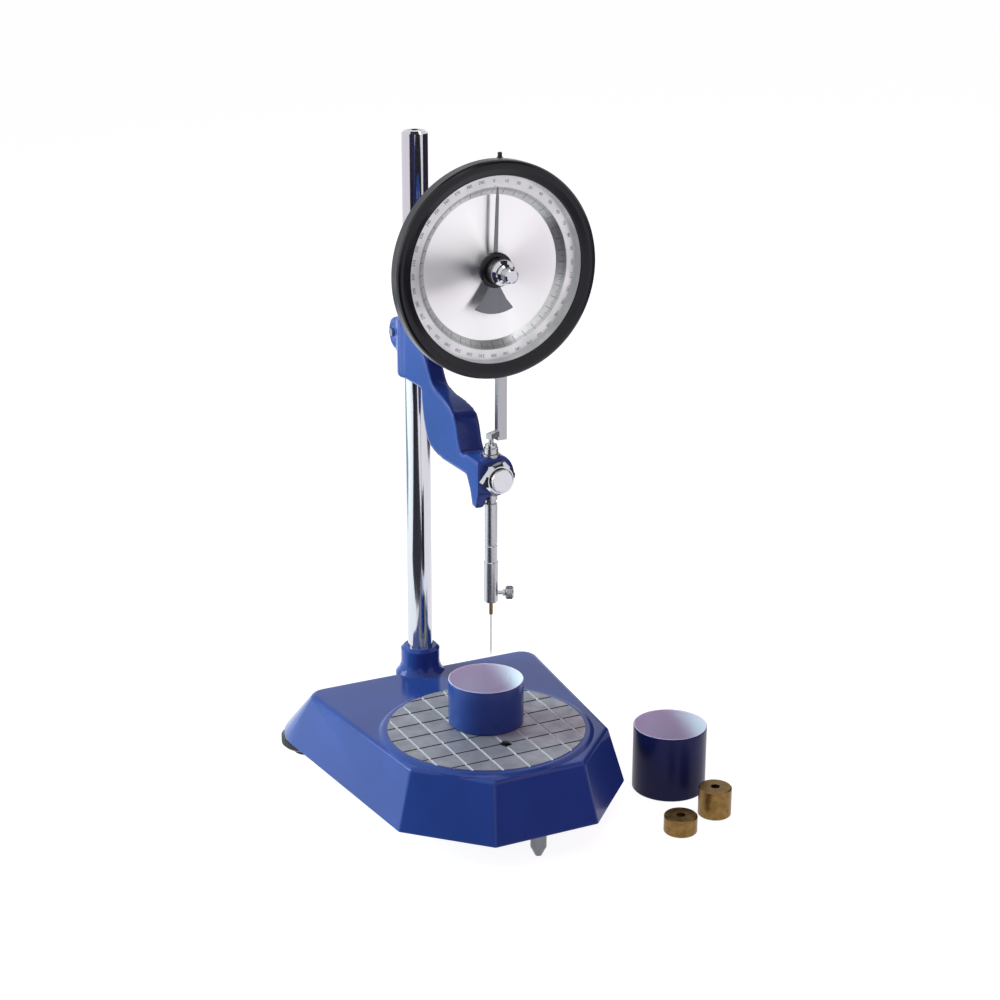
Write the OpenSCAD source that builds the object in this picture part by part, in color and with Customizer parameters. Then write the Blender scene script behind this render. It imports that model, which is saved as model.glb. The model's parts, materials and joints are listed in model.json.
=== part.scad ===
// Laboratory penetrometer: cast base with a sample table, round pillar, clamped head with dial, rack,
// plunger, needle, sample cups and ring weights. Millimetres.
// The origin is the tip of the front foot on the bench: +X right, +Y to the back, +Z up.

/* [Base] */
// height of the lower edge of the casting over the bench
base_bottom_z = 22; // [14:0.5:34]
// height of the casting's flat top
base_top_z = 68; // [60:0.5:80]
// width of the front face at the lower edge
base_front_w = 84; // [60:1:110]
// width at the two front shoulders
base_shoulder_w = 189; // [170:1:210]
// width where the rear corners begin
base_rear_w = 223; // [205:1:240]
// front face, measured from the front foot
base_front_y = -14; // [-24:1:-10]
// front shoulders, measured from the front foot
base_shoulder_y = 39; // [30:1:50]
// rear of the lower edge, measured from the front foot
base_rear_y = 274; // [262:1:285]
// inward lean of the front and side faces over their height
base_draft = 11.5; // [6:0.5:16]
// inward lean of the back face over its height
base_back_lean = 64; // [50:1:70]
// plan radius of the rear corners at the lower edge
base_rear_r = 56; // [46:1:62]
// plan radius of the rear corners at the top
base_top_r = 14; // [8:1:20]
// rounding of the casting's upper edges
base_edge_r = 5; // [2:0.5:7]
// wall of the hollow casting
base_wall = 7; // [5:0.5:10]

/* [Feet] */
// distance of the levelling feet in from the casting's widest part
foot_in_x = 24.5; // [23:0.5:33]
// distance of the levelling feet in from the casting's rear edge
foot_in_y = 32; // [31:1:42]
// radius of the levelling knobs
foot_knob_r = 20.5; // [15:0.5:22]
// radius of the levelling studs
foot_stud_r = 3; // [2.5:0.25:3.5]
// travel of a levelling foot each way
foot_travel = 3; // [2:0.5:3.5]
// radius of the fixed front foot
front_foot_r = 6; // [5:0.5:9]

/* [Table and cups] */
// radius of the sample table
table_r = 75; // [68:0.5:78]
// thickness of the sample table
table_t = 5.5; // [4:0.5:8]
// spacing of the scribed grooves
groove_pitch = 20; // [14:1:30]
// width of the scribed grooves
groove_w = 1.8; // [1:0.1:2.5]
// outer radius of both sample cups
cup_r = 28.75; // [24:0.25:34]
// wall of both sample cups
cup_wall = 1.25; // [0.8:0.05:2.5]
// height of the shallow cup
cup_h = 35; // [30:1:40]
// height of the deep cup
deep_cup_h = 53; // [45:1:65]
// radius of the ring weights
weight_r = 12.7; // [10:0.1:15]
// radius of the hole through the ring weights
weight_bore_r = 3.5; // [3.3:0.1:5]
// height of the large ring weight
weight_large_h = 23; // [18:0.5:28]
// height of the small ring weight
weight_small_h = 13.5; // [10:0.5:16]

/* [Pillar and arm] */
// radius of the pillar
pillar_r = 10; // [8:0.25:12]
// height of the pillar's top over the bench
pillar_top_z = 503; // [480:1:560]
// distance from the needle to the pillar
reach = 129; // [120:1:140]
// width of the pillar clamp
arm_t = 28; // [24:1:32]
// thickness of the arm's blade, flush with the clamp's left side
blade_t = 20; // [16:1:24]
// radius of the nose that holds the plunger and the release button
nose_r = 16.5; // [15:0.5:18]
// height of the release button's axis over the bench
button_z = 271; // [265:1:290]

/* [Dial] */
// height of the dial's centre over the release button
dial_rise = 152; // [146:1:165]
// outer radius of the bezel
bezel_r = 77.5; // [72:0.5:82]
// radius of the bezel's opening
bezel_open_r = 66.5; // [62:0.5:69]
// depth of the dial's graduated ring behind the front of the bezel
ring_depth = 6.6; // [5:0.2:8]
// radius of the bright disc inside the graduated ring
disc_r = 52; // [46:0.5:54]
// length of the pointer from the dial's centre
pointer_l = 58; // [50:0.5:62]
// radius of the pointer's fan-shaped tail
tail_r = 31.5; // [26:0.5:38]
// plunger travel for one turn of the pointer
turn_travel = 40; // [30:1:40]
// number of teeth on the pinion
pinion_teeth = 20; // [16:1:24]

/* [Plunger] */
// radius of the plunger rod
plunger_r = 4.75; // [4:0.05:5]
// radius of the needle chuck
chuck_r = 5.2; // [4.8:0.05:6]
// height of the needle's point over the bench
needle_tip_z = 127; // [110:1:140]
// radius of the needle
needle_r = 0.5; // [0.4:0.05:0.8]
// travel of the release button
button_travel = 3; // [2:0.25:3.5]
// width across the flats of the button's nut
nut_flats = 23; // [21.5:0.5:25]

/* [Fits] */
// radial clearance of shafts and slides
fit = 0.05; // [0.03:0.01:0.1]
// gap between parts that only pass each other
gap = 0.4; // [0.3:0.05:0.8]

/* [Hidden] */
$fn = 64;

blue = [0.16, 0.24, 0.55];
chrome = [0.78, 0.79, 0.81];
steel = [0.62, 0.63, 0.65];
black = [0.10, 0.10, 0.11];
brass = [0.60, 0.46, 0.22];
alloy = [0.66, 0.67, 0.68];
white = [0.86, 0.83, 0.88];

// the needle's axis, measured from the front foot, and the pillar behind it
needle_y = 79;
pillar_y = needle_y + reach;
table_top_z = base_top_z + 2.5;
// the table lies a little left of the needle's axis, and its pattern of grooves left of its middle
table_at = [-3.2, 1.2];
groove_at = [-2, 7];
groove_depth = 0.8;

// plan outline of the casting's lower edge: front corner, shoulder, start of the rear corner
front_pt = [base_front_w/2, base_front_y];
shoulder_pt = [base_shoulder_w/2, base_shoulder_y];
rear_pt = [base_rear_w/2, base_rear_y - base_rear_r];
function side_normal(a, b) = let (d = b - a) [d[1], -d[0]]/norm(d);
function miter(m, n) = (m + n)/(1 + m*n);
front_n = [0, -1];
chamfer_n = side_normal(front_pt, shoulder_pt);
flank_n = side_normal(shoulder_pt, rear_pt);
// a corner of the outline moved in by d
function front_in(d) = front_pt - d*miter(front_n, chamfer_n);
function shoulder_in(d) = shoulder_pt - d*miter(chamfer_n, flank_n);

// table screws
screw_y = 33;
screw_r = 2.5;
screw_l = 15;
screw_seat_z = table_top_z - table_t + 1.5;
screw_head_r = 4.5;
screw_head_h = 2.6;
screw_slot_w = 1.2;
screw_slot_h = 1;

// pillar socket
boss_r = 15.6;
boss_top_z = base_top_z + 22;
socket_z = base_bottom_z + 20;
stud_r = 7;
washer_r = 14;
washer_t = 2;
boss_bottom_z = socket_z - 6;

// head, all from the button's axis
nose_top_z = button_z + nose_r;
nose_bottom_z = button_z - nose_r;
nose_back = 12;
clamp_low = 43.5;
clamp_high = 89;
clamp_front = 98;
blade_end = 92;
flank_end = 117;
clamp_bottom_z = button_z + clamp_low;
clamp_top_z = button_z + clamp_high;
ear_z = button_z + 76;
ear_r = 13;
clamp_screw_y = pillar_y + pillar_r + 5;
clamp_screw_r = 3;
blade_x = (blade_t - arm_t)/2;
blade_right = blade_t - arm_t/2;
waist = 6;
cheek_t = 8.4;
stem_r = 7;
stem_back = 7;
nut_back = -7;
nut_front = nut_back - 9;
nut_turn = -10;
cup_bore_r = 9.4;
head_r = cup_bore_r - 1;
head_out = 3.5;
nut_seat_r = 10;
nut_seat_l = 2;
bush_r = 6.4;
bush_h = 4.5;
bush_top_z = nose_top_z - 0.5;
bush_bottom_z = nose_bottom_z + 1.5;

// dial, front to back, from the needle's axis
dial_z = button_z + dial_rise;
bezel_front = -11;
bezel_back = -2;
rim_rise = 2.5;
lip_t = 1.6;
lip_back = bezel_front + lip_t;
ring_front = bezel_front + ring_depth;
ring_in_r = disc_r + 5.8;
disc_front = 0.8;
plate_back = 3;
pointer_y = ring_front - 2.2;
pointer_t = 0.8;
pointer_turn = 1.9;
pointer_boss_r = 6;
pointer_tip_l = 8;
// half widths of the pointer at its boss, before its tip and at its tip
pointer_half = [1.6, 1.1, 0.4];
// side of the pointer's tail: half width, and distance in from the tail's edge
tail_half = [3, 5.2, 9.5, 14.3, 18];
tail_in = [22, 17.5, 10.3, 4.7, -1];
tail_root = 1.8;
hub_r = 12.6;
hub_t = 3;
knob_front = -33;
// setting knob: radius and length of its grip, its neck and its shoulder
grip_r = 5.2;
grip_l = 8;
neck_out_r = 6.8;
neck_end = 12;
knob_r = 9.4;
knob_shoulder = 14.5;
case_floor = 9;
case_back = 13;
flange_back = 23;
case_r = bezel_r - 3;
case_in_r = case_r - 4;
case_floor_r = case_in_r - 8;
case_taper = 6;
rack_y0 = 3.6;
rack_y1 = 8.6;
arbor_r = 2.5;
flange_r = 34;
case_screw_at = 24;
case_screw_r = 1.6;

// rack and pinion
tooth_pitch = turn_travel/pinion_teeth;
pitch_r = turn_travel/(2*PI);
module_mm = tooth_pitch/PI;
tip_r = pitch_r + 0.85*module_mm;
root_r = pitch_r - 1.2*module_mm;
backlash = 0.22;
rack_pitch_x = pitch_r + 0.05;
rack_root_x = rack_pitch_x + 1.2*module_mm;
rack_back_x = 14.6;
rack_mid_x = (rack_root_x + rack_back_x)/2;
rack_low_z = button_z + 23.5;
rack_foot_z = rack_low_z + 3.7;
rack_foot_h = 4;
rack_high_z = dial_z + case_r - 3;
rack_pin_r = 2.4;
rack_pin_h = 8.4;
rack_pin_step = 4.6;
rack_pin_tip_r = 1.6;

// plunger
collar_z = bush_top_z + 0.1;
collar_h = 6.9;
shoulder_z = collar_z + 1.9;
plunger_top_z = collar_z + collar_h + 0.6;
neck_z = nose_bottom_z - 5.5;
neck_r = plunger_r - 1.1;
stub_r = plunger_r - 1.5;
collar_r = plunger_r + 0.6;
chuck_drop = 67;
chuck_l = 32;
socket_l = 10;
ferrule_l = 10;
thumb_rise = 7;
chuck_top_z = button_z - chuck_drop;
chuck_bottom_z = chuck_top_z - chuck_l;
ferrule_bottom_z = chuck_bottom_z - ferrule_l;
thumb_z = chuck_bottom_z + thumb_rise;
thumb_turn = -25;

// loose pieces: where the cups and weights stand, from the needle's axis
cup_at = [1.5, 11.5];
deep_cup_at = [144, -24.5];
weight_large_at = [151, -81];
weight_small_at = [113, -93.5];

module at_needle(z = 0) translate([0, needle_y, z]) children();
module beside_needle(p, z = 0) translate([p[0], needle_y + p[1], z]) children();
module at_table(z = 0) beside_needle(table_at, z) children();
module at_pillar(z = 0) translate([0, pillar_y, z]) children();
// a solid drawn along +Z, laid along the dial's axis with its start at y
module along_y(y, z) translate([0, needle_y + y, z]) rotate([-90, 0, 0]) children();
module ring(r_out, r_in, h) difference() {
    cylinder(r = r_out, h = h);
    translate([0, 0, -1]) cylinder(r = r_in, h = h + 2);
}

module both_sides() {
    children();
    mirror([1, 0, 0]) children();
}

// the casting's outer form: soft upper edges, a steep front and a long sloping back
module base_form() hull() both_sides() {
    for (p = [front_in(base_draft + base_edge_r), shoulder_in(base_draft + base_edge_r)])
        translate([p[0], p[1], base_top_z - base_edge_r]) sphere(r = base_edge_r, $fn = 24);
    translate([rear_pt[0] - base_draft - base_top_r, base_rear_y - base_back_lean - base_top_r,
        base_top_z - base_edge_r]) {
        rotate_extrude($fn = 32) translate([base_top_r - base_edge_r, 0]) circle(r = base_edge_r, $fn = 16);
    }
    for (p = [front_in(3), shoulder_in(3)])
        translate([p[0], p[1], base_bottom_z]) cylinder(r = 3, h = 1, $fn = 24);
    translate([rear_pt[0] - base_rear_r, rear_pt[1], base_bottom_z])
        cylinder(r = base_rear_r, h = 1, $fn = 64);
}

module base_hollow() hull() both_sides() {
    for (p = [front_in(base_draft + base_wall), shoulder_in(base_draft + base_wall)])
        translate([p[0], p[1], base_top_z - base_wall - 1]) cylinder(r = 0.5, h = 1, $fn = 8);
    translate([rear_pt[0] - base_draft - base_top_r - base_wall,
        base_rear_y - base_back_lean - base_top_r - base_wall, base_top_z - base_wall - 1])
        cylinder(r = base_top_r, h = 1, $fn = 32);
    for (p = [front_in(base_wall), shoulder_in(base_wall)])
        translate([p[0], p[1], base_bottom_z - 1]) cylinder(r = 0.5, h = 1, $fn = 8);
    translate([rear_pt[0] - base_rear_r, rear_pt[1], base_bottom_z - 1])
        cylinder(r = base_rear_r - base_wall - 1, h = 1, $fn = 48);
}

module base() color(blue) difference() {
    union() {
        difference() {
            base_form();
            difference() {
                base_hollow();
                // bosses left standing inside the casting
                translate([0, 0, base_bottom_z - 2]) cylinder(r = 12, h = 60);
                for (s = [-1, 1]) translate([s*foot_x, foot_y, base_bottom_z - 2]) cylinder(r = 9, h = 60);
                at_pillar(boss_bottom_z) cylinder(r = 19, h = 40);
                for (s = [-1, 1]) at_table(screw_seat_z - screw_l - 4) translate([0, s*screw_y, 0])
                    cylinder(r = 8, h = 20);
            }
        }
        // raised seat of the table
        at_table() rotate_extrude($fn = 96) polygon([[0, base_top_z - 6], [table_r + 6.5, base_top_z - 6],
            [table_r + 6.5, base_top_z], [table_r + 4.2, base_top_z + 1.6], [table_r + 3, base_top_z + 2],
            [0, base_top_z + 2]]);
        // pillar boss with a flared foot
        at_pillar() rotate_extrude() polygon([[0, socket_z - 2], [boss_r + 4, socket_z - 2],
            [boss_r + 4.6, base_top_z - 1], [boss_r + 1.6, base_top_z + 3], [boss_r, base_top_z + 8],
            [boss_r, boss_top_z - 2.5], [boss_r - 2.5, boss_top_z], [0, boss_top_z]]);
    }
    at_table(table_top_z - table_t) cylinder(r = table_r + fit, h = 20);
    for (s = [-1, 1]) at_table(screw_seat_z - screw_l - 0.5) translate([0, s*screw_y, 0])
        cylinder(r = screw_r, h = screw_l + 2);
    at_pillar(socket_z) cylinder(r = pillar_r + fit, h = 80);
    at_pillar(base_bottom_z - 1) cylinder(r = stud_r + fit, h = 40);
    at_pillar(base_bottom_z - 1) cylinder(r = washer_r + 2, h = boss_bottom_z - base_bottom_z + 1);
    translate([0, 0, base_bottom_z - 1]) cylinder(r = 4, h = 21);
    for (s = [-1, 1]) translate([s*foot_x, foot_y, foot_pad_h])
        cylinder(r = foot_stud_r + fit, h = foot_stud_top - foot_pad_h + foot_travel + 0.5);
}

module table() color(alloy) at_table() difference() {
    translate([0, 0, table_top_z - table_t]) cylinder(r = table_r, h = table_t, $fn = 128);
    translate([0, 0, table_top_z - groove_depth]) for (i = [-3:3]) {
        translate([groove_at[0] + i*groove_pitch - groove_w/2, -table_r - 1, 0])
            cube([groove_w, 2*table_r + 2, table_t]);
        translate([-table_r - 1, groove_at[1] + i*groove_pitch - groove_w/2, 0])
            cube([2*table_r + 2, groove_w, table_t]);
    }
    for (s = [-1, 1]) translate([0, s*screw_y, screw_seat_z]) {
        translate([0, 0, -table_t]) cylinder(r = screw_r + 0.2, h = 2*table_t);
        cylinder(r = 4.9, h = table_t);
    }
}

module table_screws() color(steel) for (s = [-1, 1]) at_table(screw_seat_z)
    translate([0, s*screw_y, 0]) difference() {
        union() {
            cylinder(r = screw_head_r, h = screw_head_h);
            translate([0, 0, -screw_l]) cylinder(r = screw_r, h = screw_l);
        }
        translate([-screw_head_r - 1, -screw_slot_w/2, screw_head_h - screw_slot_h])
            cube([2*screw_head_r + 2, screw_slot_w, screw_slot_h + 1]);
    }

module front_foot() color(steel) {
    rotate_extrude() polygon([[0, 0], [2.5, 0], [front_foot_r, 7], [front_foot_r, base_bottom_z],
        [4, base_bottom_z], [4, base_bottom_z + 19], [0, base_bottom_z + 19]]);
}

module pillar() color(chrome) at_pillar() rotate_extrude() polygon([[0, base_bottom_z + 2],
    [stud_r, base_bottom_z + 2], [stud_r, socket_z], [pillar_r, socket_z], [pillar_r, pillar_top_z - 2],
    [pillar_r - 2, pillar_top_z], [pillar_r - 3.5, pillar_top_z], [pillar_r - 4, pillar_top_z - 0.6],
    [0, pillar_top_z - 0.6]]);

module pillar_washer() color(steel) at_pillar(boss_bottom_z - washer_t) ring(washer_r, stud_r, washer_t);

module pillar_nut() color(steel) at_pillar(boss_bottom_z - washer_t - 8) difference() {
    cylinder(r = washer_r - 1.5, h = 8, $fn = 6);
    translate([0, 0, -1]) cylinder(r = stud_r, h = 10);
}

// a levelling foot: rubber pad, knurled knob and stud
foot_x = base_rear_w/2 - foot_in_x;
foot_y = base_rear_y - foot_in_y;
foot_pad_h = 6;
foot_pad_r = foot_knob_r - 9;
foot_knob_top = base_bottom_z - foot_travel - 2;
foot_stud_top = base_bottom_z + 10 - foot_travel;
module foot_pad(s) color(black) translate([s*foot_x, foot_y, 0]) rotate_extrude() polygon([[0, 0],
    [foot_pad_r - 1, 0], [foot_pad_r, 1], [foot_pad_r, foot_pad_h], [0, foot_pad_h]]);
module foot_knob(s) color(black) translate([s*foot_x, foot_y, 0]) rotate_extrude() polygon([
    [foot_stud_r, foot_pad_h], [foot_knob_r - 2, foot_pad_h], [foot_knob_r, foot_pad_h + 2],
    [foot_knob_r, foot_knob_top - 2], [foot_knob_r - 2, foot_knob_top], [foot_stud_r, foot_knob_top]]);
module foot_stud(s) color(steel) translate([s*foot_x, foot_y, foot_pad_h])
    cylinder(r = foot_stud_r, h = foot_stud_top - foot_pad_h);
module foot_pad_left() foot_pad(-1);
module foot_knob_left() foot_knob(-1);
module foot_stud_left() foot_stud(-1);
module foot_pad_right() foot_pad(1);
module foot_knob_right() foot_knob(1);
module foot_stud_right() foot_stud(1);

// side profile of the arm, y from the needle and z from the button, joined by a smooth curve
arm_front = [[104, 86], [91, 75], [79.5, 62.5], [70.5, 51], [52, 45.5], [38, 39.5], [31, 31.5],
    [26.5, 19], [22, 11]];
arm_rear = [[22, -2.5], [42, -2.3], [58, -1.9], [70.5, 0.2], [81, 6], [88, 20], [91.3, 34],
    [blade_end, clamp_low]];
// side profile of the neck that carries the dial, in the same way
dial_neck = [[100, 60], [112, 86], [60, 140], [flange_back - 2, 168], [flange_back - 2, 138],
    [50, 112], [84, 68]];
// plan of the blade's right side, which draws in between the nose and the clamp
arm_flank = [[blade_right, 36], [blade_right - waist/2, 48], [blade_right - waist + 0.4, 57],
    [blade_right - waist, 68], [blade_right - waist, 84], [blade_right - waist/2, 100],
    [arm_t/2 - 4.5, flank_end - 7], [arm_t/2, flank_end]];
function smooth(p, k) = let (n = len(p)) [for (i = [0:n - 2]) for (j = [0:k - 1])
    let (t = j/k, a = p[max(i - 1, 0)], b = p[i], c = p[i + 1], d = p[min(i + 2, n - 1)])
    0.5*((2*b) + (c - a)*t + (2*a - 5*b + 4*c - d)*t*t + (3*b - a - 3*c + d)*t*t*t)];
module side_plate(pts, t, x = 0) translate([x - t/2, needle_y, button_z]) rotate([90, 0, 90])
    linear_extrude(height = t) polygon(pts);

module blade() difference() {
    union() {
        side_plate(concat(smooth(arm_front, 4), [[22, 11], [8, 11], [8, -2.5]], smooth(arm_rear, 4),
            [[blade_end, clamp_low], [arm_front[0][0], clamp_low]]), blade_t, blade_x);
        side_plate([[clamp_front, clamp_low], [reach, clamp_low], [reach, clamp_high],
            [clamp_front, clamp_high - 7]], arm_t);
    }
    at_needle() linear_extrude(height = 2*button_z)
        polygon(concat(smooth(arm_flank, 4), [[arm_t/2, flank_end], [arm_t, flank_end], [arm_t, 36]]));
}

// round nose, flat on the left, crossed by the plunger and with the release button in front
module nose() {
    difference() {
        along_y(nut_back, button_z) rotate_extrude() polygon([[0, 0], [nose_r - 2.2, 0], [nose_r - 0.6, 0.6],
            [nose_r, 2.2], [nose_r, nose_back - nut_back - 3], [nose_r - 3, nose_back - nut_back],
            [0, nose_back - nut_back]]);
        translate([-arm_t/2 - nose_r, needle_y + nut_back - 1, nose_bottom_z])
            cube([nose_r, nose_back - nut_back + 2, 2*nose_r]);
    }
    // left cheek with a finger lip
    side_plate([[22, 11], [14, nose_r - 3], [nut_back + 1.5, nose_r - 4], [nut_back, nose_r - 5.5],
        [nut_back, -11], [-5, -18], [-2, -24], [4, -23.5], [8, -11], [14, -2.5], [22, -2.5]], cheek_t,
        (cheek_t - arm_t)/2);
}

module arm() color(blue) difference() {
    union() {
        blade();
        nose();
        // pillar clamp and its ears
        at_pillar(clamp_bottom_z) cylinder(r = pillar_r + 5.5, h = clamp_top_z - clamp_bottom_z);
        translate([-arm_t/2, clamp_screw_y - 5, ear_z]) rotate([0, 90, 0]) cylinder(r = ear_r, h = arm_t);
        // neck and flange that carry the dial
        side_plate(dial_neck, blade_t);
        along_y(case_back, dial_z) cylinder(r = flange_r, h = flange_back - case_back);
    }
    at_pillar(clamp_bottom_z - 5) cylinder(r = pillar_r + fit, h = clamp_top_z - clamp_bottom_z + 10);
    translate([-1, pillar_y, clamp_bottom_z - 5])
        cube([2, 3*pillar_r, clamp_top_z - clamp_bottom_z + 10]);
    translate([-arm_t, clamp_screw_y, ear_z]) rotate([0, 90, 0])
        cylinder(r = clamp_screw_r + fit, h = 2*arm_t);
    // face and seat of the button's nut, cross bore of the button, bores of the plunger bushes
    along_y(nut_front, button_z) cylinder(r = nose_r + 1, h = nut_back - nut_front);
    along_y(nut_front, button_z) cylinder(r = nut_seat_r, h = nut_back - nut_front + nut_seat_l);
    along_y(-30, button_z) cylinder(r = stem_r + fit, h = 30 + stem_back + button_travel + 0.5);
    at_needle(bush_top_z - bush_h) cylinder(r = bush_r, h = 2*nose_r);
    at_needle(bush_bottom_z + bush_h - 2*nose_r) cylinder(r = bush_r, h = 2*nose_r);
    at_needle(nose_bottom_z - 1) cylinder(r = plunger_r + gap, h = 2*nose_r + 2);
    // screw holes and the arbor's clearance in the flange
    for (a = [45:90:315]) along_y(case_back - 1, dial_z) rotate([0, 0, a])
        translate([case_screw_at, 0, 0]) cylinder(r = case_screw_r + 0.6, h = 20);
    along_y(case_back - 1, dial_z) cylinder(r = 7, h = 8);
}

module clamp_stud() color(steel) translate([-arm_t/2 - 1.5, clamp_screw_y, ear_z]) rotate([0, 90, 0])
    cylinder(r = clamp_screw_r, h = arm_t + 1.5 + gap + 9);

module clamp_knob() color(black) translate([arm_t/2 + gap, clamp_screw_y, ear_z]) rotate([0, 90, 0])
    difference() {
        rotate_extrude() polygon([[clamp_screw_r, 0], [7, 0], [7, 4], [11.5, 6], [12, 8], [12, 14],
            [10.5, 16], [0, 16], [0, 9], [clamp_screw_r, 9]]);
        for (a = [0:60:300]) rotate([0, 0, a]) translate([14.2, 0, 4]) cylinder(r = 4, h = 20);
    }

module dial_case() color(black) difference() {
    // the ledge at the back of the wider bore seats the graduated ring
    along_y(lip_back, dial_z) rotate_extrude($fn = 128) polygon([[case_in_r, 0], [case_r, 0],
        [case_r, plate_back - lip_back], [case_r - case_taper, case_back - lip_back],
        [0, case_back - lip_back], [0, case_floor - lip_back], [case_floor_r, case_floor - lip_back],
        [case_floor_r, plate_back - lip_back], [case_in_r, plate_back - lip_back]]);
    // slots that guide the rack through the rim
    translate([rack_root_x - 2, needle_y + rack_y0 - gap, dial_z - case_r - 5])
        cube([rack_back_x - rack_root_x + 2 + gap, rack_y1 - rack_y0 + 2*gap, 2*case_r + 10]);
    along_y(case_floor - 1, dial_z) cylinder(r = 5, h = 20);
    for (a = [45:90:315]) along_y(case_floor - 1, dial_z) rotate([0, 0, a])
        translate([case_screw_at, 0, 0]) cylinder(r = case_screw_r, h = 20);
}

// the bezel's face rises from its opening to a rounded rim
module bezel() color(black) along_y(bezel_front, dial_z) rotate_extrude($fn = 128) polygon([
    [bezel_open_r + 0.3, 0.3], [bezel_open_r + 1.2, 0], [bezel_r - 6, 0.3 - rim_rise],
    [bezel_r - 4, -rim_rise],
    [bezel_r - 2.2, 0.4 - rim_rise], [bezel_r - 0.7, 1.4 - rim_rise], [bezel_r, 3 - rim_rise],
    [bezel_r, bezel_back - bezel_front], [case_r, bezel_back - bezel_front], [case_r, lip_t],
    [bezel_open_r, lip_t], [bezel_open_r, 1]]);

// silvered ring: an upright rim behind the bezel's lip, the graduated face and a slope down to the disc
module dial_ring() color(alloy) along_y(lip_back, dial_z) rotate_extrude($fn = 128) polygon([
    [bezel_open_r + 0.3, 0], [case_in_r, 0], [case_in_r, plate_back - lip_back],
    [disc_r, plate_back - lip_back], [disc_r, disc_front - 0.2 - lip_back],
    [ring_in_r, ring_front - lip_back], [bezel_open_r + 0.3, ring_front - lip_back]]);

module dial_disc() color(chrome) along_y(disc_front, dial_z)
    ring(disc_r, arbor_r + 1.5, plate_back - disc_front, $fn = 128);

module case_screws() color(steel) for (a = [45:90:315]) along_y(case_floor, dial_z) rotate([0, 0, a])
    translate([case_screw_at, 0, 0]) {
        cylinder(r = case_screw_r, h = flange_back - case_floor);
        translate([0, 0, flange_back - case_floor]) difference() {
            cylinder(r = 3.4, h = 2.4);
            translate([-4, -0.5, 1.2]) cube([8, 1, 2]);
        }
    }

module arbor_bush() color(brass) along_y(case_floor, dial_z) ring(5, arbor_r + fit, 7);

arbor_front = knob_front + 14;
module arbor() color(steel) along_y(arbor_front, dial_z)
    cylinder(r = arbor_r, h = case_back + 2 - arbor_front);

// involute pinion: flank points from the root to the tip of one tooth, half a tooth at a time
function inv_deg(r) = let (c = min(1, pitch_r*cos(20)/r), a = acos(c)) tan(a)*180/PI - a;
half_tooth = 90/pinion_teeth - backlash/2/pitch_r*180/PI;
function flank_deg(r) = half_tooth + inv_deg(pitch_r) - inv_deg(r);
flank_r = [root_r, pitch_r*cos(20) + 0.05, pitch_r, tip_r];
function tooth(c) = concat([for (r = flank_r) let (a = c - flank_deg(r)) [r*cos(a), r*sin(a)]],
    [for (i = [3:-1:0]) let (r = flank_r[i], a = c + flank_deg(r)) [r*cos(a), r*sin(a)]]);
module pinion() color(brass) along_y(rack_y0, dial_z) difference() {
    linear_extrude(height = rack_y1 - rack_y0)
        polygon([for (i = [0:pinion_teeth - 1]) each tooth(i*360/pinion_teeth)]);
    translate([0, 0, -1]) cylinder(r = arbor_r, h = 20);
}

module rack() color(steel) {
    z_hi = dial_z + 3*tooth_pitch;
    n = ceil((turn_travel + 6*tooth_pitch)/tooth_pitch);
    w = tooth_pitch/4 - backlash/2;
    ad = 0.85*module_mm;
    de = 1.2*module_mm;
    k = tan(20);
    translate([0, needle_y + rack_y1, 0]) rotate([90, 0, 0]) linear_extrude(height = rack_y1 - rack_y0)
        polygon(concat([[rack_back_x, rack_low_z], [rack_back_x, rack_high_z], [rack_root_x, rack_high_z]],
            [for (i = [0:n - 1]) let (c = z_hi - (i + 0.5)*tooth_pitch) each [
                [rack_root_x, c + w + k*de], [rack_pitch_x - ad, c + w - k*ad],
                [rack_pitch_x - ad, c - w + k*ad], [rack_root_x, c - w - k*de]]],
            [[rack_root_x, rack_low_z]]));
}

// the foot slants from the rack to the plunger's axis
module rack_foot() color(steel) at_needle() {
    turn = atan2((rack_y0 + rack_y1)/2, rack_mid_x);
    far = norm([(rack_y0 + rack_y1)/2, rack_mid_x]);
    difference() {
        rotate([0, 0, turn]) translate([-3, -2.5, rack_foot_z]) cube([far, 5, rack_foot_h]);
        translate([rack_root_x, 0, rack_foot_z - 1]) cube([far, 2*rack_y1, rack_foot_h + 2]);
    }
    translate([0, 0, plunger_top_z + 0.1]) cylinder(r = 1.8, h = rack_foot_z + 1 - plunger_top_z);
}

module rack_knob() color(black)
    translate([rack_root_x + rack_pin_r, needle_y + (rack_y0 + rack_y1)/2, rack_high_z]) rotate_extrude()
        polygon([[0, 0], [rack_pin_r, 0], [rack_pin_r, rack_pin_step], [rack_pin_tip_r, rack_pin_step + 0.8],
            [rack_pin_tip_r, rack_pin_h - 0.4], [rack_pin_tip_r - 0.4, rack_pin_h], [0, rack_pin_h]]);

module pointer() color(black) along_y(pointer_y, dial_z) rotate([0, 0, pointer_turn]) difference() {
    union() {
        cylinder(r = pointer_boss_r, h = pointer_t);
        linear_extrude(height = pointer_t) both_sides() polygon([[0, 0], [pointer_half[0], 0],
            [pointer_half[1], -pointer_l + pointer_tip_l], [pointer_half[2], -pointer_l], [0, -pointer_l]]);
        // fan-shaped tail, drawn towards the dial's lower half
        linear_extrude(height = pointer_t) intersection() {
            circle(r = tail_r);
            both_sides() polygon(concat([[0, 0], [tail_root, 0]],
                [for (i = [0:4]) [tail_half[i], tail_r - tail_in[i]]], [[0, tail_r - tail_in[4]]]));
        }
    }
    translate([0, 0, -1]) cylinder(r = arbor_r + fit, h = pointer_t + 2);
}

module pointer_hub() color(black) along_y(pointer_y - hub_t, dial_z) rotate_extrude() polygon([
    [arbor_r + fit, 0], [hub_r - 2.4, 0], [hub_r - 0.6, 0.5], [hub_r, 1.2], [hub_r, hub_t],
    [arbor_r + fit, hub_t]]);

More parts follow.
